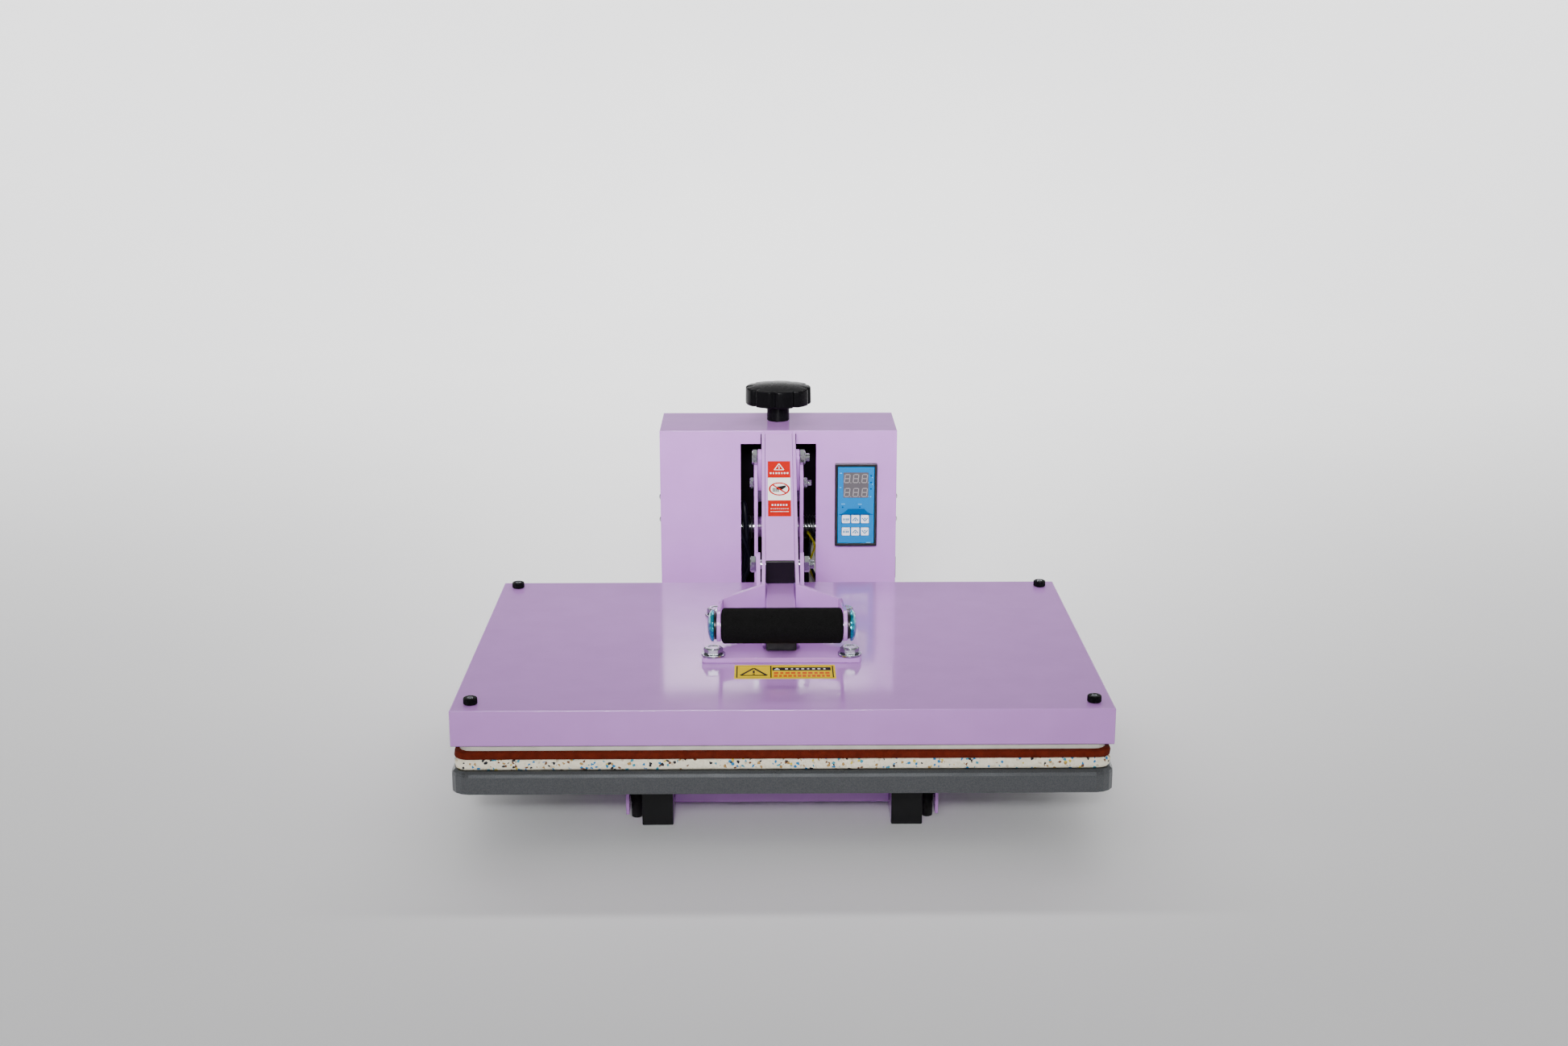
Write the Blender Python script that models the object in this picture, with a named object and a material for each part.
"""Clamshell heat press: flat lower platen, hinged heated head, toggle lever and control box.

Metres, +Z up, front of the press towards -Y. The origin is on the floor under the
middle of the press's overall width and depth. Everything is shown pressed shut.
"""
import math

import bmesh
import bpy
from mathutils import Matrix, Vector

# ---------------------------------------------------------------- driving sizes
GAP = 0.0003                    # clearance left between pieces that touch
OVERALL_DEPTH = 0.594           # front edge of the tray to the back of the control box

COVER_WIDTH = 0.612             # heated head's pressed-steel cover
COVER_DEPTH = 0.412
COVER_SKIRT = 0.035
COVER_SHEET = 0.0015
PLATEN_INSET = 0.006            # cast platen, in from the cover's edge
PLATEN_BELOW_SKIRT = 0.0064
PLATEN_THICK = 0.024
SILICONE_THICK = 0.0075
FOAM_THICK = 0.0100
PAD_INSET = 0.0014              # silicone and foam, in from the cover's edge
PAD_CORNER = 0.012
TRAY_HEIGHT = 0.0224
TRAY_OVERHANG = 0.002           # tray past the cover's edge
TRAY_CORNER = 0.018
TRAY_EDGE = 0.006

LEG_WIDTH = 0.030               # steel legs, rectangular tube on edge
LEG_HEIGHT = 0.0597
LEG_WALL = 0.0020
LEG_SPACING = 0.240
LEG_SETBACK = 0.070             # leg's front end behind the tray's front edge
LEG_REAR_SETBACK = 0.012
PLUG_LIP = 0.0030
PLUG_DEPTH = 0.015
CROSS_HEIGHT = 0.040
CROSS_LIFT = 0.010
TOWER_DECK = 0.006              # plate that the tower stands on, between the legs
FRONT_CROSS_DEPTH = 0.024
REAR_CROSS_DEPTH = 0.150
BRACKET_SHEET = 0.003
BRACKET_LENGTH = 0.060
FOOT_RADIUS = 0.0058
FOOT_RIB = 0.0012

BOX_WIDTH = 0.270               # control box
BOX_DEPTH = 0.102
BOX_TOP_ABOVE_HINGE = 0.126
BOX_SHEET = 0.0015
SLOT_WIDTH = 0.086
SLOT_BELOW_BOX_TOP = 0.0153
NOTCH_BELOW_BOX_TOP = 0.0036    # narrow notch above the slot, where the lever's tail swings in
NOTCH_CLEARANCE = 0.0012

TUBE = 0.030                    # square tube of the arm and the lever
TUBE_WALL = 0.0020
PLATE_WIDTH = 0.156             # arm's mounting plate
PLATE_DEPTH = 0.153
PLATE_THICK = 0.005
PLATE_SETBACK = 0.132           # behind the cover's front edge
ARM_SETBACK = 0.157
EAR_THICK = 0.004
EAR_RADIUS = 0.0125
EAR_BASE = 0.044

HINGE_AHEAD_OF_BACK = 0.052     # main hinge, from the control box's back
HINGE_ABOVE_COVER = 0.030
HINGE_PIN = 0.007
SLEEVE_RADIUS = 0.012
LINK_PIVOT_AHEAD = 0.070        # lower link pivot, from the main hinge
LINK_PIVOT_ABOVE = 0.070
TOGGLE_AHEAD = 0.0145           # upper link pivot, from the lower one
TOGGLE_ABOVE = 0.033
LEVER_PIVOT_SETBACK = 0.2895    # behind the cover's front edge
LEVER_PIVOT_ABOVE = 0.0052       # over the arm tube, besides half of the lever tube
LEVER_TAIL = 0.024              # tube past the upper link pivot
LEVER_NOSE = 0.0104             # tube past the lever pivot
FORK_THICK = 0.0037
LINK_THICK = 0.004
LINK_RADIUS = 0.0092
TOWER_THICK = 0.004
TOWER_TOP_RADIUS = 0.027
TOWER_REAR_BEHIND = 0.032       # tower's rear edge, behind the main hinge
TOWER_SHOULDER_ABOVE = 0.050    # tower's low rear shoulder, above the main hinge
PIVOT_BOLT = 0.005              # pivot bolts' radius
PIVOT_CLEARANCE = 0.0003
HEX_RADIUS = 0.0088
HEX_HEIGHT = 0.0065

HANDLE_SETBACK = 0.090          # handle's axis behind the cover's front edge
HANDLE_ABOVE = 0.052            # above the cover
GRIP_RADIUS = 0.0173
GRIP_LENGTH = 0.115
HANDLE_ROD = 0.006
FORK_HALF_SPAN = 0.06015
FORK_END_RADIUS = 0.015
FORK_HALF_HEIGHT = 0.015
WING_ROOT_SETBACK = 0.239
WING_TIP_SETBACK = 0.203
WING_ROOT_ABOVE = 0.034
WING_TIP_ABOVE = 0.0315
WING_HALF_HEIGHT = 0.013
CAP_RADIUS = 0.0152
CAP_HEIGHT = 0.0064

KNOB_RADIUS = 0.0382
KNOB_HEIGHT = 0.0225
KNOB_STEM = 0.013
KNOB_STEM_HEIGHT = 0.0200
KNOB_LOBES = 9
KNOB_PHASE = 21.4                # degrees from +X to a groove
KNOB_GROOVE = 0.0035
SCREW_RADIUS = 0.006
SCREW_BEHIND_HINGE = 0.010
NUT_BLOCK_HEIGHT = 0.018
NUT_BLOCK_DEPTH = 0.030
NUT_BLOCK_ABOVE = 0.032

SPRING_RADIUS = 0.0125
SPRING_WIRE = 0.0014
SPRING_TURNS = 4
SPRING_PITCH = 0.0034

CONTROLLER_WIDTH = 0.048        # panel controller, DIN 48 x 96
CONTROLLER_HEIGHT = 0.096
CONTROLLER_PROUD = 0.008
CONTROLLER_BODY_DEPTH = 0.060
CONTROLLER_X = 0.0885
CONTROLLER_BELOW_BOX_TOP = 0.0855
CONTROLLER_WALL = 0.0015
CONTROLLER_RIM = 0.0022
KEY_SIZE = 0.0092
KEY_TRAVEL = 0.0006
KEY_PROUD = 0.0014
KEY_CLEARANCE = 0.0004
KEY_COLUMNS = (-0.0113, -0.0005, 0.0103)
KEY_ROWS = (-0.0164, -0.0310)

ROCKER_WIDTH = 0.013
ROCKER_HEIGHT = 0.019
ROCKER_RIM = 0.003
ROCKER_ABOVE_BOX_FOOT = 0.064
INLET_WIDTH = 0.027
INLET_HEIGHT = 0.020
INLET_ABOVE_BOX_FOOT = 0.025
SIDE_FITTING_PROUD = 0.003

# ------------------------------------------------------------- places that follow
FRONT_Y = -OVERALL_DEPTH / 2
BACK_Y = OVERALL_DEPTH / 2
COVER_FRONT = FRONT_Y + TRAY_OVERHANG
COVER_BACK = COVER_FRONT + COVER_DEPTH
BOX_FRONT = BACK_Y - BOX_DEPTH
BOX_BOTTOM = LEG_HEIGHT + GAP
TRAY_BOTTOM = LEG_HEIGHT + GAP
TRAY_TOP = TRAY_BOTTOM + TRAY_HEIGHT
FOAM_TOP = TRAY_TOP + FOAM_THICK
SILICONE_TOP = FOAM_TOP + SILICONE_THICK
SKIRT_BOTTOM = SILICONE_TOP + GAP + PLATEN_BELOW_SKIRT
COVER_TOP = SKIRT_BOTTOM + COVER_SKIRT
PLATE_TOP = COVER_TOP + GAP + PLATE_THICK
ARM_BOTTOM = PLATE_TOP + GAP
HINGE = Vector((0.0, BACK_Y - HINGE_AHEAD_OF_BACK, COVER_TOP + HINGE_ABOVE_COVER))
BOX_TOP = HINGE.z + BOX_TOP_ABOVE_HINGE
SLOT_TOP = BOX_TOP - SLOT_BELOW_BOX_TOP
NOTCH_TOP = BOX_TOP - NOTCH_BELOW_BOX_TOP
CONTROLLER_Z = BOX_TOP - CONTROLLER_BELOW_BOX_TOP
ROCKER_Z = BOX_BOTTOM + ROCKER_ABOVE_BOX_FOOT
INLET_Z = BOX_BOTTOM + INLET_ABOVE_BOX_FOOT
LINK_PIVOT = HINGE + Vector((0.0, -LINK_PIVOT_AHEAD, LINK_PIVOT_ABOVE))
TOGGLE = LINK_PIVOT + Vector((0.0, -TOGGLE_AHEAD, TOGGLE_ABOVE))
LEVER_PIVOT = Vector((0.0, COVER_FRONT + LEVER_PIVOT_SETBACK, ARM_BOTTOM + 1.5 * TUBE + LEVER_PIVOT_ABOVE))
HANDLE = Vector((0.0, COVER_FRONT + HANDLE_SETBACK, COVER_TOP + HANDLE_ABOVE))
SCREW_Y = HINGE.y + SCREW_BEHIND_HINGE
FORK_IN = TUBE / 2 + GAP                    # inner faces of the side plates, outwards
LINK_IN = FORK_IN + FORK_THICK + GAP
TOWER_IN = LINK_IN + LINK_THICK + GAP
TOWER_OUT = TOWER_IN + TOWER_THICK
EAR_IN = LINK_IN + 0.0015
EAR_OUT = EAR_IN + EAR_THICK
SIDES = (("left", -1), ("right", 1))
ROUND = 24                                  # sides of a round piece
SMALL_ROUND = 16

FINISHES = {                                # colour, roughness, metallic
    "lilac_paint": ((0.48, 0.34, 0.56), 0.22, 0.0),
    "tray_paint": ((0.32, 0.33, 0.35), 0.38, 0.7),
    "cast_alloy": ((0.72, 0.70, 0.66), 0.45, 0.6),
    "silicone": ((0.30, 0.045, 0.022), 0.75, 0.0),
    "speckled_foam": ((0.80, 0.76, 0.64), 0.90, 0.0),
    "black_plastic": ((0.012, 0.012, 0.013), 0.35, 0.0),
    "black_rubber": ((0.015, 0.015, 0.015), 0.80, 0.0),
    "grip_foam": ((0.010, 0.010, 0.010), 0.95, 0.0),
    "zinc_steel": ((0.66, 0.67, 0.68), 0.28, 1.0),
    "spring_steel": ((0.30, 0.30, 0.31), 0.35, 1.0),
    "teal_metallic": ((0.02, 0.30, 0.40), 0.25, 0.8),
    "blue_face": ((0.02, 0.28, 0.72), 0.35, 0.0),
    "white_key": ((0.85, 0.87, 0.90), 0.45, 0.0),
}


# ------------------------------------------------------------------ small tools
def clear_scene():
    for old in list(bpy.data.objects):
        bpy.data.objects.remove(old, do_unlink=True)


def finish(name):
    """The named finish as a Principled material, made once."""
    found = bpy.data.materials.get(name)
    if found:
        return found
    colour, roughness, metallic = FINISHES[name]
    made = bpy.data.materials.new(name)
    made.use_nodes = True
    shader = made.node_tree.nodes["Principled BSDF"]
    shader.inputs["Base Color"].default_value = (*colour, 1.0)
    shader.inputs["Roughness"].default_value = roughness
    shader.inputs["Metallic"].default_value = metallic
    made.diffuse_color = (*colour, 1.0)
    return made


def add(name, bm, material, parent=None):
    """Put a bmesh into the scene as one named object, hung from its joint's empty."""
    bmesh.ops.recalc_face_normals(bm, faces=bm.faces)
    mesh = bpy.data.meshes.new(name)
    bm.to_mesh(mesh)
    bm.free()
    made = bpy.data.objects.new(name, mesh)
    bpy.context.collection.objects.link(made)
    if material:
        mesh.materials.append(finish(material))
    if parent:
        made.parent = parent
        made.matrix_parent_inverse = Matrix.Translation(parent.location).inverted()
    return made


def pivot(name, place):
    """Empty on a joint's axis."""
    made = bpy.data.objects.new(name, None)
    made.location = place
    bpy.context.collection.objects.link(made)
    return made


def box_mesh(low, high):
    bm = bmesh.new()
    bmesh.ops.create_cube(bm, size=1.0)
    for v in bm.verts:
        v.co = [lo if c < 0 else hi for c, lo, hi in zip(v.co, low, high)]
    return bm


def block(name, low, high, material, parent=None, bevel=0.0):
    made = add(name, box_mesh(low, high), material, parent)
    if bevel:
        soften(made, bevel)
    return made


def soften(made, width, segments=1):
    modifier = made.modifiers.new("edges", "BEVEL")
    modifier.width = width
    modifier.segments = segments
    modifier.limit_method = "ANGLE"
    modifier.angle_limit = math.radians(50)


def sweep(profile, path):
    """Closed solid through rings of matching points: profile(station) gives one ring."""
    bm = bmesh.new()
    rings = [[bm.verts.new(p) for p in profile(station)] for station in path]
    for first, second in zip(rings, rings[1:]):
        count = len(first)
        for i in range(count):
            j = (i + 1) % count
            bm.faces.new((first[i], first[j], second[j], second[i]))
    bm.faces.new(rings[0])
    bm.faces.new(list(reversed(rings[-1])))
    return bm


def prism_x(outline, x_low, x_high):
    """Outline of (y, z) points carried along X."""
    return sweep(lambda x: [(x, y, z) for y, z in outline], (x_low, x_high))


def rod(axis, centre, radius, low, high, sides=ROUND):
    """Round rod along X or Z between two coordinates on its axis."""
    steps = [2 * math.pi * i / sides for i in range(sides)]
    if axis == "X":
        return sweep(lambda x: [(x, centre.y + radius * math.cos(a), centre.z + radius * math.sin(a))
                                for a in steps], (low, high))
    return sweep(lambda z: [(centre.x + radius * math.cos(a), centre.y + radius * math.sin(a), z)
                            for a in steps], (low, high))


def turned_x(centre, stations, sides=ROUND):
    """Solid turned about X through stations of (x, radius)."""
    steps = [2 * math.pi * i / sides for i in range(sides)]
    return sweep(lambda s: [(s[0], centre.y + s[1] * math.cos(a), centre.z + s[1] * math.sin(a))
                            for a in steps], stations)


def turned_z(centre, stations, sides=ROUND):
    """Solid turned about Z through stations of (z, radius)."""
    steps = [2 * math.pi * i / sides for i in range(sides)]
    return sweep(lambda s: [(centre.x + s[1] * math.cos(a), centre.y + s[1] * math.sin(a), s[0])
                            for a in steps], stations)


def cut(made, bm):
    """Take a closed shape out of an object, keeping the cut live."""
    tool = add("cutter_" + made.name, bm, None)
    tool.hide_render = True
    tool.display_type = "WIRE"
    modifier = made.modifiers.new("cut", "BOOLEAN")
    modifier.operation = "DIFFERENCE"
    modifier.object = tool


def rounded_outline(half_x, y_low, y_high, radius, steps=4):
    """Rectangle in X and Y with round corners."""
    corners = ((half_x, y_high, 0), (-half_x, y_high, 90), (-half_x, y_low, 180), (half_x, y_low, 270))
    outline = []
    for x, y, start in corners:
        cx = x - math.copysign(radius, x)
        cy = y - radius if y == y_high else y + radius
        for i in range(steps + 1):
            a = math.radians(start + 90 * i / steps)
            outline.append((cx + radius * math.cos(a), cy + radius * math.sin(a)))
    return outline


def slab(name, half_x, y_low, y_high, z_low, z_high, radius, material, parent=None):
    outline = rounded_outline(half_x, y_low, y_high, radius)
    return add(name, sweep(lambda z: [(x, y, z) for x, y in outline], (z_low, z_high)), material, parent)


def arc(centre, radius, start, stop, steps=8):
    """Points (y, z) on an arc, angles in degrees from +Y towards +Z."""
    turns = [math.radians(start + (stop - start) * i / steps) for i in range(steps + 1)]
    return [(centre.y + radius * math.cos(a), centre.z + radius * math.sin(a)) for a in turns]


def hex_bolt(name, centre, side, inner, seat, parent, tip=0.0):
    """Pivot bolt along X: shank from inner to its seat, hex head outside it, optional thread end."""
    stations = [(inner, PIVOT_BOLT), (seat, PIVOT_BOLT)]
    head = [(seat, HEX_RADIUS), (seat + HEX_HEIGHT, HEX_RADIUS)]
    if tip:
        head += [(seat + HEX_HEIGHT, PIVOT_BOLT), (seat + HEX_HEIGHT + tip, PIVOT_BOLT)]
    bm = turned_x(centre, [(side * x, r) for x, r in stations + head], sides=12)
    return add(name, bm, "zinc_steel", parent)


# ------------------------------------------------------------------------ base
def make_base():
    leg_front = FRONT_Y + LEG_SETBACK
    leg_back = BACK_Y - LEG_REAR_SETBACK
    for side_name, side in SIDES:
        mid = side * LEG_SPACING / 2
        left, right = mid - LEG_WIDTH / 2, mid + LEG_WIDTH / 2
        leg = block("base_leg_" + side_name, (left, leg_front, 0.0), (right, leg_back, LEG_HEIGHT),
                    "lilac_paint")
        cut(leg, box_mesh((left + LEG_WALL, leg_front - PLUG_DEPTH, LEG_WALL),
                          (right - LEG_WALL, leg_back + PLUG_DEPTH, LEG_HEIGHT - LEG_WALL)))
        make_plug("leg_plug_" + side_name, left, right, leg_front, 0.0, LEG_HEIGHT, LEG_WALL)

        inner = LEG_SPACING / 2 + LEG_WIDTH / 2 + GAP
        outer = inner + 2 * (FOOT_RADIUS + GAP) + BRACKET_SHEET
        drop = outer - BRACKET_SHEET
        rise = LEG_HEIGHT - BRACKET_SHEET
        start = leg_front
        corner = [(inner, LEG_HEIGHT), (outer, LEG_HEIGHT), (outer, CROSS_LIFT), (drop, CROSS_LIFT),
                  (drop, rise), (inner, rise)]
        bm = sweep(lambda y: [(side * x, y, z) for x, z in corner], (start, start + BRACKET_LENGTH))
        add("foot_bracket_" + side_name, bm, "lilac_paint")
        middle = Vector((side * (inner + drop) / 2, start + BRACKET_LENGTH / 3, 0.0))
        top = rise - GAP
        ribs = [(0.0, FOOT_RADIUS - FOOT_RIB), (top / 6, FOOT_RADIUS)]
        for i in range(2, 6):
            ribs.append((top * i / 6, FOOT_RADIUS - FOOT_RIB * (i % 2 == 0)))
        ribs.append((top, FOOT_RADIUS))
        add("rubber_foot_" + side_name, turned_z(middle, ribs, SMALL_ROUND), "black_rubber")

    half = LEG_SPACING / 2 - LEG_WIDTH / 2 - GAP
    front = leg_front + LEG_WIDTH
    block("front_crossmember", (-half, front, CROSS_LIFT),
          (half, front + FRONT_CROSS_DEPTH, CROSS_LIFT + CROSS_HEIGHT), "lilac_paint")
    block("tower_deck", (-half, leg_back - REAR_CROSS_DEPTH, LEG_HEIGHT - TOWER_DECK),
          (half, leg_back, LEG_HEIGHT), "lilac_paint")


def make_plug(name, left, right, front, bottom, top, wall, parent=None):
    """Plastic end plug: a lip over the tube's end and a boss inside it."""
    boss = wall + GAP
    lip = [(left, bottom), (right, bottom), (right, top), (left, top)]
    inside = [(left + boss, bottom + boss), (right - boss, bottom + boss),
              (right - boss, top - boss), (left + boss, top - boss)]
    stations = [(front - GAP - PLUG_LIP, lip), (front - GAP, lip), (front - GAP, inside),
                (front + PLUG_DEPTH, inside)]
    return add(name, sweep(lambda s: [(x, s[0], z) for x, z in s[1]], stations), "black_plastic", parent)


# --------------------------------------------------------------- lower platen
def make_lower_platen():
    half = COVER_WIDTH / 2 + TRAY_OVERHANG
    low, high = COVER_FRONT - TRAY_OVERHANG, COVER_BACK + TRAY_OVERHANG
    levels = [(TRAY_BOTTOM, 0.0)]
    for i in range(4):
        a = math.radians(30 * i)
        levels.append((TRAY_TOP - TRAY_EDGE + TRAY_EDGE * math.sin(a), TRAY_EDGE * (1 - math.cos(a))))
    rings = [(z, rounded_outline(half - inset, low + inset, high - inset, TRAY_CORNER - inset))
             for z, inset in levels]
    add("lower_platen_tray", sweep(lambda s: [(x, y, s[0]) for x, y in s[1]], rings), "tray_paint")
    half = COVER_WIDTH / 2 - PAD_INSET
    low, high = COVER_FRONT + PAD_INSET, COVER_BACK - PAD_INSET
    slab("foam_pad", half, low, high, TRAY_TOP + GAP, FOAM_TOP, PAD_CORNER, "speckled_foam")
    slab("silicone_pad", half, low, high, FOAM_TOP + GAP, SILICONE_TOP, PAD_CORNER, "silicone")


# ------------------------------------------------------------- tower and hinge
def make_tower():
    bottom = LEG_HEIGHT + GAP
    front = LINK_PIVOT.y - TOWER_TOP_RADIUS
    rear = HINGE.y + TOWER_REAR_BEHIND
    shoulder = HINGE.z + TOWER_SHOULDER_ABOVE
    outline = [(front, bottom)]
    outline += arc(LINK_PIVOT, TOWER_TOP_RADIUS, 180, 0)
    outline += [(LINK_PIVOT.y + TOWER_TOP_RADIUS, shoulder), (rear, shoulder), (rear, bottom)]
    for side_name, side in SIDES:
        inner, outer = sorted((side * TOWER_IN, side * TOWER_OUT))
        plate = add("tower_side_" + side_name, prism_x(outline, inner, outer), "lilac_paint")
        cut(plate, rod("X", HINGE, HINGE_PIN + PIVOT_CLEARANCE, inner - GAP, outer + GAP))
        cut(plate, rod("X", LINK_PIVOT, PIVOT_BOLT + PIVOT_CLEARANCE, inner - GAP, outer + GAP))

    head = TOWER_OUT + SPRING_TURNS * SPRING_PITCH + 4 * SPRING_WIRE
    ends = [(-head - 0.003, 0.010), (-head, 0.010), (-head, HINGE_PIN), (head, HINGE_PIN),
            (head, 0.010), (head + 0.003, 0.010)]
    add("main_hinge_pin", turned_x(HINGE, ends), "zinc_steel")

    low = HINGE.z + NUT_BLOCK_ABOVE
    half = TOWER_IN - GAP
    nut = block("pressure_nut_block", (-half, SCREW_Y - NUT_BLOCK_DEPTH / 2, low),
                (half, SCREW_Y + NUT_BLOCK_DEPTH / 2, low + NUT_BLOCK_HEIGHT), "zinc_steel")
    screw = Vector((0.0, SCREW_Y, 0.0))
    cut(nut, rod("Z", screw, SCREW_RADIUS + PIVOT_CLEARANCE, low - GAP, low + NUT_BLOCK_HEIGHT + GAP))
    make_springs()
    for side_name, side in SIDES:
        tip = 0.004 if side > 0 else 0.0
        hex_bolt("link_tower_bolt_" + side_name, LINK_PIVOT, side, LINK_IN + GAP, TOWER_OUT + GAP, None, tip)


def make_springs():
    """Lift springs: coils round the hinge pin outside the tower, tails down and forwards."""
    per_turn = 12
    for side_name, side in SIDES:
        start = TOWER_OUT + 2 * SPRING_WIRE
        points = []
        for i in range(SPRING_TURNS * per_turn + 1):
            a = 2 * math.pi * i / per_turn
            x = start + SPRING_PITCH * i / per_turn
            points.append((side * x, HINGE.y - SPRING_RADIUS * math.sin(a),
                           HINGE.z + SPRING_RADIUS * math.cos(a)))
        curve = bpy.data.curves.new("lift_spring_" + side_name, "CURVE")
        curve.dimensions = "3D"
        curve.bevel_depth = SPRING_WIRE
        curve.bevel_resolution = 1
        curve.use_fill_caps = True
        line = curve.splines.new("POLY")
        line.points.add(len(points) - 1)
        for place, point in zip(line.points, points):
            place.co = (*point, 1.0)
        curve.materials.append(finish("spring_steel"))
        made = bpy.data.objects.new("lift_spring_" + side_name, curve)
        bpy.context.collection.objects.link(made)


# ---------------------------------------------------------------- heated head
def make_head(arm):
    half = COVER_WIDTH / 2
    cover = block("top_cover", (-half, COVER_FRONT, SKIRT_BOTTOM), (half, COVER_BACK, COVER_TOP),
                  "lilac_paint", arm)
    inner = COVER_SHEET
    cut(cover, box_mesh((-half + inner, COVER_FRONT + inner, SKIRT_BOTTOM - COVER_SHEET),
                        (half - inner, COVER_BACK - inner, COVER_TOP - inner)))
    platen = SILICONE_TOP + GAP
    slab("heating_platen", half - PLATEN_INSET, COVER_FRONT + PLATEN_INSET, COVER_BACK - PLATEN_INSET,
         platen, platen + PLATEN_THICK, PAD_CORNER, "cast_alloy", arm)

    plate_front = COVER_FRONT + PLATE_SETBACK
    slab("arm_mount_plate", PLATE_WIDTH / 2, plate_front, plate_front + PLATE_DEPTH, COVER_TOP + GAP,
         PLATE_TOP, 0.003, "lilac_paint", arm)

    front = COVER_FRONT + ARM_SETBACK
    back = HINGE.y - SLEEVE_RADIUS - GAP
    tube = block("arm_tube", (-TUBE / 2, front, ARM_BOTTOM), (TUBE / 2, back, ARM_BOTTOM + TUBE),
                 "lilac_paint", arm)
    cut(tube, box_mesh((-TUBE / 2 + TUBE_WALL, front - PLUG_DEPTH, ARM_BOTTOM + TUBE_WALL),
                       (TUBE / 2 - TUBE_WALL, back + PLUG_DEPTH, ARM_BOTTOM + TUBE - TUBE_WALL)))
    make_plug("arm_tube_plug", -TUBE / 2, TUBE / 2, front, ARM_BOTTOM, ARM_BOTTOM + TUBE, TUBE_WALL, arm)
    half = TOWER_IN - GAP
    sleeve = add("main_hinge_sleeve", rod("X", HINGE, SLEEVE_RADIUS, -half, half), "lilac_paint", arm)
    cut(sleeve, rod("X", HINGE, HINGE_PIN + PIVOT_CLEARANCE, -half - GAP, half + GAP))

    foot = PLATE_TOP + GAP
    outline = [(LEVER_PIVOT.y - EAR_BASE / 2, foot), (LEVER_PIVOT.y - EAR_BASE / 2, foot + EAR_BASE / 4)]
    outline += arc(LEVER_PIVOT, EAR_RADIUS, 160, 20)
    outline += [(LEVER_PIVOT.y + EAR_BASE / 2, foot + EAR_BASE / 4), (LEVER_PIVOT.y + EAR_BASE / 2, foot)]
    for side_name, side in SIDES:
        low, high = sorted((side * EAR_IN, side * EAR_OUT))
        ear = add("lever_ear_" + side_name, prism_x(outline, low, high), "lilac_paint", arm)
        cut(ear, rod("X", LEVER_PIVOT, PIVOT_BOLT + PIVOT_CLEARANCE, low - GAP, high + GAP))
    shank_end = EAR_OUT + GAP + HEX_HEIGHT
    stations = [(-shank_end, HEX_RADIUS), (-EAR_OUT - GAP, HEX_RADIUS), (-EAR_OUT - GAP, PIVOT_BOLT),
                (shank_end + 0.005, PIVOT_BOLT)]
    add("lever_pivot_bolt", turned_x(LEVER_PIVOT, stations, 12), "zinc_steel", arm)
    nut = add("lever_pivot_nut", turned_x(LEVER_PIVOT, [(EAR_OUT + GAP, HEX_RADIUS), (shank_end, HEX_RADIUS)],
                                          12), "zinc_steel", arm)
    cut(nut, rod("X", LEVER_PIVOT, PIVOT_BOLT + PIVOT_CLEARANCE, EAR_OUT, shank_end + GAP))


# ----------------------------------------------------------------------- lever
def lever_point(along, above):
    """Point (y, z) on the lever: along it from its pivot, and square to it."""
    direction = (TOGGLE - LEVER_PIVOT).normalized()
    return (LEVER_PIVOT.y + along * direction.y - above * direction.z,
            LEVER_PIVOT.z + along * direction.z + above * direction.y)


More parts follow.
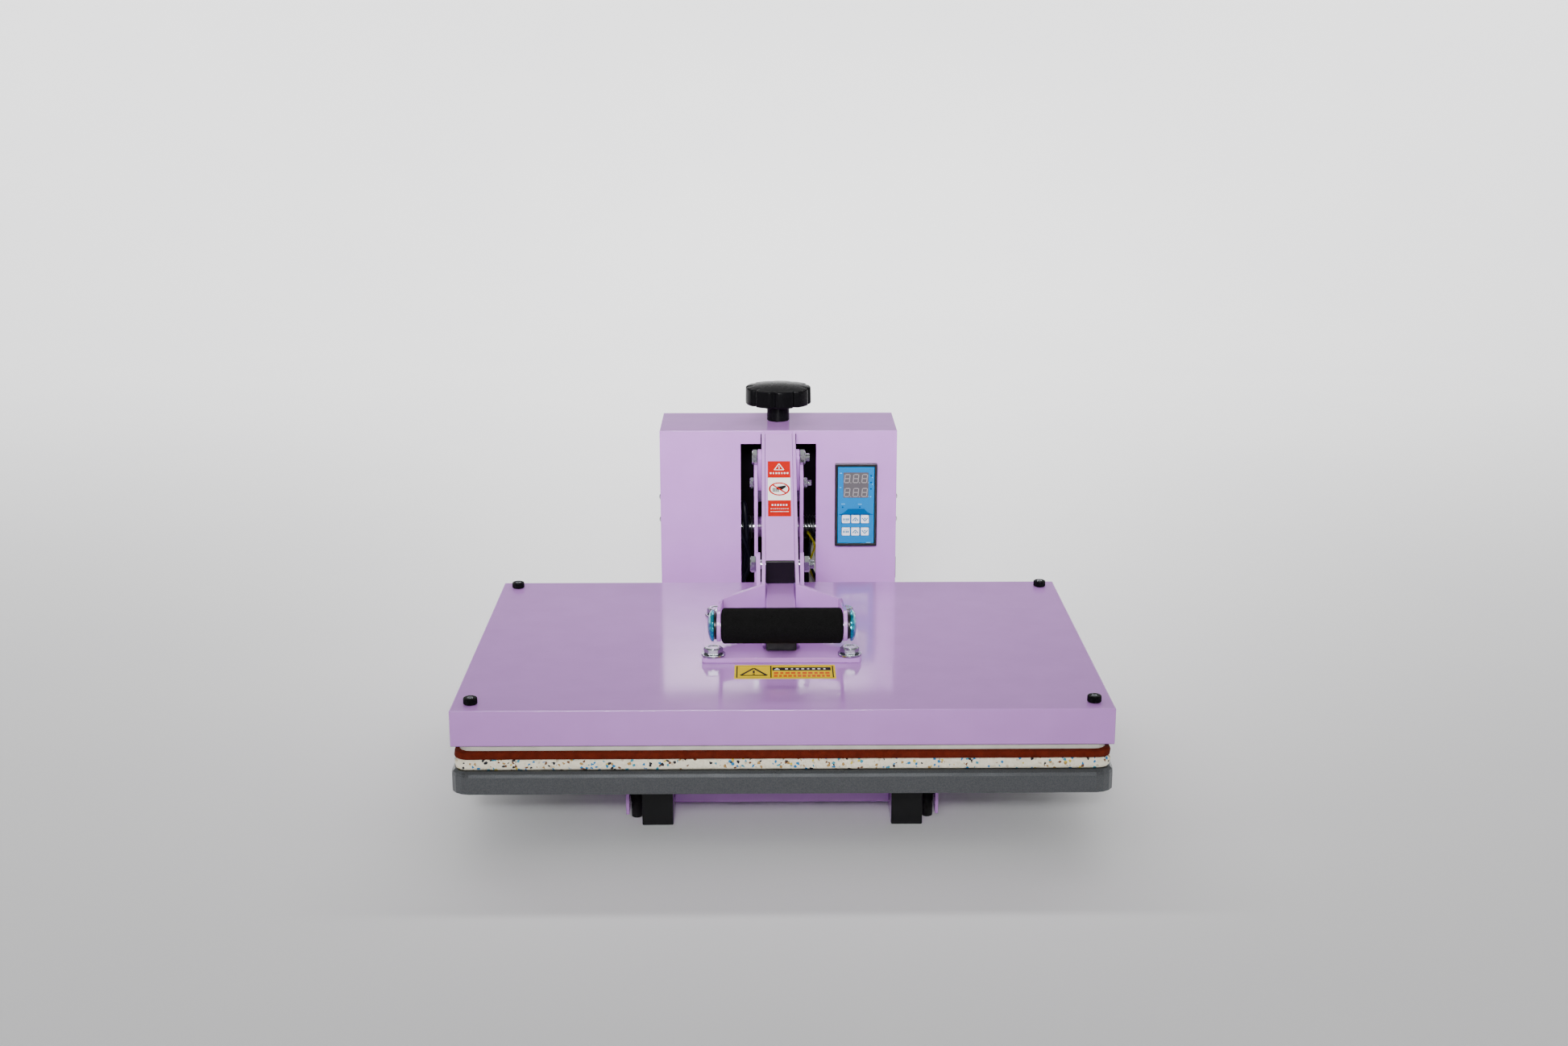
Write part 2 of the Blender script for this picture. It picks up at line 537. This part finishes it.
def make_lever(lever):
    reach = (TOGGLE - LEVER_PIVOT).length + LEVER_TAIL
    half = TUBE / 2
    wall = half - TUBE_WALL

    def square(start, stop, size):
        return [lever_point(start, -size), lever_point(stop, -size),
                lever_point(stop, size), lever_point(start, size)]

    tube = add("lever_tube", prism_x(square(-LEVER_NOSE, reach, half), -half, half), "lilac_paint", lever)
    cut(tube, prism_x(square(-LEVER_NOSE - PLUG_DEPTH, reach + PLUG_DEPTH, wall), -wall, wall))
    cut(tube, rod("X", LEVER_PIVOT, PIVOT_BOLT + PIVOT_CLEARANCE, -TUBE, TUBE))
    plug_end = -LEVER_NOSE - GAP
    add("lever_tube_plug", prism_x(square(plug_end - PLUG_LIP, plug_end, half), -half, half),
        "black_plastic", lever)

    slope = (TOGGLE.z - LEVER_PIVOT.z) / (TOGGLE.y - LEVER_PIVOT.y)
    tail_y = lever_point(reach, 0.0)[0]
    nose_y = lever_point(-LEVER_NOSE, 0.0)[0]
    mid = FORK_IN + FORK_THICK / 2
    root_y = COVER_FRONT + WING_ROOT_SETBACK
    tip_y = COVER_FRONT + WING_TIP_SETBACK
    stations = [(mid, y, LEVER_PIVOT.z + slope * (y - LEVER_PIVOT.y), FORK_HALF_HEIGHT)
                for y in (tail_y, nose_y)]
    stations.append((mid + GAP, root_y, COVER_TOP + WING_ROOT_ABOVE, FORK_HALF_HEIGHT))
    stations.append((FORK_HALF_SPAN, tip_y, COVER_TOP + WING_TIP_ABOVE, WING_HALF_HEIGHT))
    for i in range(9):
        a = math.radians(10 * i)
        stations.append((FORK_HALF_SPAN, HANDLE.y - FORK_END_RADIUS * math.sin(a), HANDLE.z,
                         FORK_END_RADIUS * math.cos(a)))
    for side_name, side in SIDES:
        fork = add("handle_fork_" + side_name, strip(stations, side), "lilac_paint", lever)
        span = side * FORK_HALF_SPAN
        cut(fork, rod("X", HANDLE, HANDLE_ROD + PIVOT_CLEARANCE, span - FORK_THICK, span + FORK_THICK))
        cut(fork, rod("X", LEVER_PIVOT, PIVOT_BOLT + PIVOT_CLEARANCE, side * mid - FORK_THICK,
                      side * mid + FORK_THICK))
    outside = FORK_HALF_SPAN + FORK_THICK / 2
    add("handle_rod", rod("X", HANDLE, HANDLE_ROD, -outside, outside), "zinc_steel", lever)
    grip = add("grip_foam", rod("X", HANDLE, GRIP_RADIUS, -GRIP_LENGTH / 2, GRIP_LENGTH / 2, 32),
               "grip_foam", lever)
    cut(grip, rod("X", HANDLE, HANDLE_ROD + PIVOT_CLEARANCE, -GRIP_LENGTH, GRIP_LENGTH))
    for side_name, side in SIDES:
        start = outside + GAP
        dome = [(start, CAP_RADIUS)]
        for i in range(1, 5):
            a = math.radians(20 * i)
            dome.append((start + CAP_HEIGHT * math.sin(a), CAP_RADIUS * math.cos(a)))
        add("handle_cap_" + side_name, turned_x(HANDLE, [(side * x, r) for x, r in dome]),
            "teal_metallic", lever)


def strip(stations, side):
    """Flat bar bent in plan: each station is (x, y, middle height, half height)."""
    count = len(stations)
    rings = []
    for i, (x, y, z, half) in enumerate(stations):
        before, after = stations[max(i - 1, 0)], stations[min(i + 1, count - 1)]
        run = [Vector((b[0] - a[0], b[1] - a[1], 0.0)) for a, b in ((before, stations[i]), (stations[i], after))]
        run = [r.normalized() for r in run if r.length > 0]
        along = sum(run, Vector((0.0, 0.0, 0.0))).normalized()
        across = Vector((along.y, -along.x, 0.0)) * FORK_THICK / 2 / max(along.dot(run[0]), 0.5)
        near, far = Vector((x, y, 0.0)) - across, Vector((x, y, 0.0)) + across
        rings.append([(side * p.x, p.y, h) for p, h in
                      ((near, z - half), (far, z - half), (far, z + half), (near, z + half))])
    return sweep(lambda ring: ring, rings)


def make_links(links):
    along = (TOGGLE - LINK_PIVOT)
    turn = math.degrees(math.atan2(along.z, along.y))
    outline = arc(TOGGLE, LINK_RADIUS, turn - 90, turn + 90) + arc(LINK_PIVOT, LINK_RADIUS, turn + 90,
                                                                 turn + 270)
    for side_name, side in SIDES:
        low, high = sorted((side * LINK_IN, side * (LINK_IN + LINK_THICK)))
        link = add("toggle_link_" + side_name, prism_x(outline, low, high), "lilac_paint", links)
        for centre in (LINK_PIVOT, TOGGLE):
            cut(link, rod("X", centre, PIVOT_BOLT + PIVOT_CLEARANCE, low - GAP, high + GAP))
        tip = 0.004 if side > 0 else 0.0
        hex_bolt("toggle_bolt_" + side_name, TOGGLE, side, LINK_IN + GAP, LINK_IN + LINK_THICK + GAP, links,
                 tip)


# ----------------------------------------------------------------- control box
def make_control_box():
    half = BOX_WIDTH / 2
    skin = BOX_SHEET
    back_face = BACK_Y - skin - GAP
    front_face = BOX_FRONT + skin + GAP
    hood = block("control_box_hood", (-half, front_face, BOX_BOTTOM), (half, back_face, BOX_TOP),
                 "lilac_paint")
    cut(hood, box_mesh((-half + skin, front_face - skin, BOX_BOTTOM - skin),
                       (half - skin, back_face + skin, BOX_TOP - skin)))
    screw = Vector((0.0, SCREW_Y, 0.0))
    cut(hood, rod("Z", screw, SCREW_RADIUS + 2 * PIVOT_CLEARANCE, BOX_TOP - 2 * skin, BOX_TOP + skin))
    for centre_z, wide, tall in ((ROCKER_Z, ROCKER_WIDTH, ROCKER_HEIGHT), (INLET_Z, INLET_WIDTH, INLET_HEIGHT)):
        middle = BOX_FRONT + BOX_DEPTH / 2
        cut(hood, box_mesh((half - 2 * skin, middle - wide / 2 - GAP, centre_z - tall / 2 - GAP),
                           (half + skin, middle + wide / 2 + GAP, centre_z + tall / 2 + GAP)))

    front = block("control_box_front", (-half, BOX_FRONT, BOX_BOTTOM), (half, BOX_FRONT + skin, BOX_TOP),
                  "lilac_paint")
    cut(front, box_mesh((-SLOT_WIDTH / 2, BOX_FRONT - skin, BOX_BOTTOM - skin),
                        (SLOT_WIDTH / 2, BOX_FRONT + 2 * skin, SLOT_TOP)))
    notch = FORK_IN + FORK_THICK + NOTCH_CLEARANCE
    cut(front, box_mesh((-notch, BOX_FRONT - skin, SLOT_TOP - skin), (notch, BOX_FRONT + 2 * skin, NOTCH_TOP)))
    wide = CONTROLLER_WIDTH / 2 - CONTROLLER_RIM
    tall = CONTROLLER_HEIGHT / 2 - CONTROLLER_RIM
    cut(front, box_mesh((CONTROLLER_X - wide - GAP, BOX_FRONT - skin, CONTROLLER_Z - tall - GAP),
                        (CONTROLLER_X + wide + GAP, BOX_FRONT + 2 * skin, CONTROLLER_Z + tall + GAP)))
    block("control_box_back", (-half, BACK_Y - skin, BOX_BOTTOM), (half, BACK_Y, BOX_TOP), "lilac_paint")
    make_controller(wide, tall)
    make_side_fittings(half)


def make_controller(wide, tall):
    """Panel controller: a rim in front of the panel, a body through it, face and six keys."""
    half_w, half_h = CONTROLLER_WIDTH / 2, CONTROLLER_HEIGHT / 2
    x, z = CONTROLLER_X, CONTROLLER_Z
    seat = BOX_FRONT - GAP
    outside = [(x - half_w, z - half_h), (x + half_w, z - half_h), (x + half_w, z + half_h),
               (x - half_w, z + half_h)]
    inside = [(x - wide, z - tall), (x + wide, z - tall), (x + wide, z + tall), (x - wide, z + tall)]
    stations = [(seat - CONTROLLER_PROUD, outside), (seat, outside), (seat, inside),
                (seat + CONTROLLER_BODY_DEPTH, inside)]
    housing = add("controller_housing", sweep(lambda s: [(a, s[0], b) for a, b in s[1]], stations),
                  "black_plastic")
    wall = CONTROLLER_WALL
    recess = CONTROLLER_PROUD + CONTROLLER_BODY_DEPTH / 4
    cut(housing, box_mesh((x - half_w + 2 * wall, seat - CONTROLLER_PROUD - wall, z - half_h + 2 * wall),
                          (x + half_w - 2 * wall, seat - CONTROLLER_PROUD + recess, z + half_h - 2 * wall)))
    face_front = seat - CONTROLLER_PROUD + wall / 2
    face = block("controller_face", (x - half_w + 2 * wall + GAP, face_front, z - half_h + 2 * wall + GAP),
                 (x + half_w - 2 * wall - GAP, face_front + wall, z + half_h - 2 * wall - GAP), "blue_face")
    for row, key_z in enumerate(KEY_ROWS):
        for column, key_x in enumerate(KEY_COLUMNS):
            size = KEY_SIZE / 2
            middle_x, middle_z = x + key_x, z + key_z
            cut(face, box_mesh((middle_x - size - KEY_CLEARANCE, face_front - wall,
                                middle_z - size - KEY_CLEARANCE),
                               (middle_x + size + KEY_CLEARANCE, face_front + 2 * wall,
                                middle_z + size + KEY_CLEARANCE)))
            block("key_%d_%d" % (row + 1, column + 1),
                  (middle_x - size, face_front - KEY_PROUD, middle_z - size),
                  (middle_x + size, face_front + 2 * wall, middle_z + size), "white_key", None, 0.0008)


def make_side_fittings(half):
    """Rocker switch and mains inlet in the box's right side."""
    middle = BOX_FRONT + BOX_DEPTH / 2
    skin_out = half + GAP
    proud = SIDE_FITTING_PROUD
    for name, z, wide, tall in (("rocker_switch_frame", ROCKER_Z, ROCKER_WIDTH, ROCKER_HEIGHT),
                                ("mains_inlet", INLET_Z, INLET_WIDTH, INLET_HEIGHT)):
        rim = ROCKER_RIM
        outer = [(middle - wide / 2 - rim, z - tall / 2 - rim), (middle + wide / 2 + rim, z - tall / 2 - rim),
                 (middle + wide / 2 + rim, z + tall / 2 + rim), (middle - wide / 2 - rim, z + tall / 2 + rim)]
        inner = [(middle - wide / 2, z - tall / 2), (middle + wide / 2, z - tall / 2),
                 (middle + wide / 2, z + tall / 2), (middle - wide / 2, z + tall / 2)]
        stations = [(skin_out + proud, outer), (skin_out, outer), (skin_out, inner),
                    (skin_out - wide, inner)]
        body = add(name, sweep(lambda s: [(s[0], a, b) for a, b in s[1]], stations), "black_plastic")
        wall = BOX_SHEET
        depth = wide - 2 * wall
        cut(body, box_mesh((skin_out - depth, middle - wide / 2 + wall, z - tall / 2 + wall),
                           (skin_out + proud + wall, middle + wide / 2 - wall, z + tall / 2 - wall)))
    axle = Vector((0.0, middle, ROCKER_Z))
    rocker = pivot("rocker_axis", (skin_out - 2 * GAP, axle.y, axle.z))
    reach = ROCKER_HEIGHT / 2 - BOX_SHEET - 3 * GAP
    width = ROCKER_WIDTH / 2 - BOX_SHEET - GAP
    face = skin_out + proud / 2
    outline = [(face + 0.0015, ROCKER_Z + reach), (face, ROCKER_Z), (face - 0.0012, ROCKER_Z - reach),
               (face - 0.0040, ROCKER_Z - reach * 0.8), (face - 0.0045, ROCKER_Z),
               (face - 0.0040, ROCKER_Z + reach * 0.8)]
    bm = sweep(lambda y: [(x, y, z) for x, z in outline], (middle - width, middle + width))
    add("rocker_switch", bm, "black_plastic", rocker)


# ------------------------------------------------------------- pressure control
def make_pressure_control(knob):
    screw = Vector((0.0, SCREW_Y, 0.0))
    bottom = HINGE.z + NUT_BLOCK_ABOVE + NUT_BLOCK_HEIGHT / 4
    add("pressure_screw", rod("Z", screw, SCREW_RADIUS, bottom, BOX_TOP, SMALL_ROUND), "zinc_steel", knob)
    base = BOX_TOP + GAP
    rim = base + KNOB_STEM_HEIGHT
    top = rim + KNOB_HEIGHT
    levels = [(base, KNOB_STEM, 0.0), (rim, KNOB_STEM, 0.0), (rim, KNOB_RADIUS * 0.94, 1.0),
              (rim + KNOB_HEIGHT * 0.12, KNOB_RADIUS, 1.0), (rim + KNOB_HEIGHT * 0.82, KNOB_RADIUS, 1.0),
              (rim + KNOB_HEIGHT * 0.93, KNOB_RADIUS * 0.95, 1.0), (rim + KNOB_HEIGHT * 0.98, KNOB_RADIUS * 0.6, 0.0),
              (top, KNOB_RADIUS * 0.2, 0.0)]
    steps = KNOB_LOBES * 8

    def ring(level):
        z, radius, depth = level
        points = []
        for i in range(steps):
            a = 2 * math.pi * i / steps
            groove = max(0.0, math.cos(KNOB_LOBES * (a - math.radians(KNOB_PHASE)))) ** 4
            r = radius - KNOB_GROOVE * depth * groove
            points.append((r * math.cos(a), SCREW_Y + r * math.sin(a), z))
        return points

    add("pressure_knob", sweep(ring, levels), "black_plastic", knob)


def main():
    clear_scene()
    arm = pivot("main_hinge_axis", HINGE)
    lever = pivot("lever_axis", LEVER_PIVOT)
    links = pivot("link_axis", LINK_PIVOT)
    knob = pivot("pressure_screw_axis", (0.0, SCREW_Y, BOX_TOP))
    make_base()
    make_lower_platen()
    make_tower()
    make_control_box()
    make_head(arm)
    make_lever(lever)
    make_links(links)
    make_pressure_control(knob)


main()
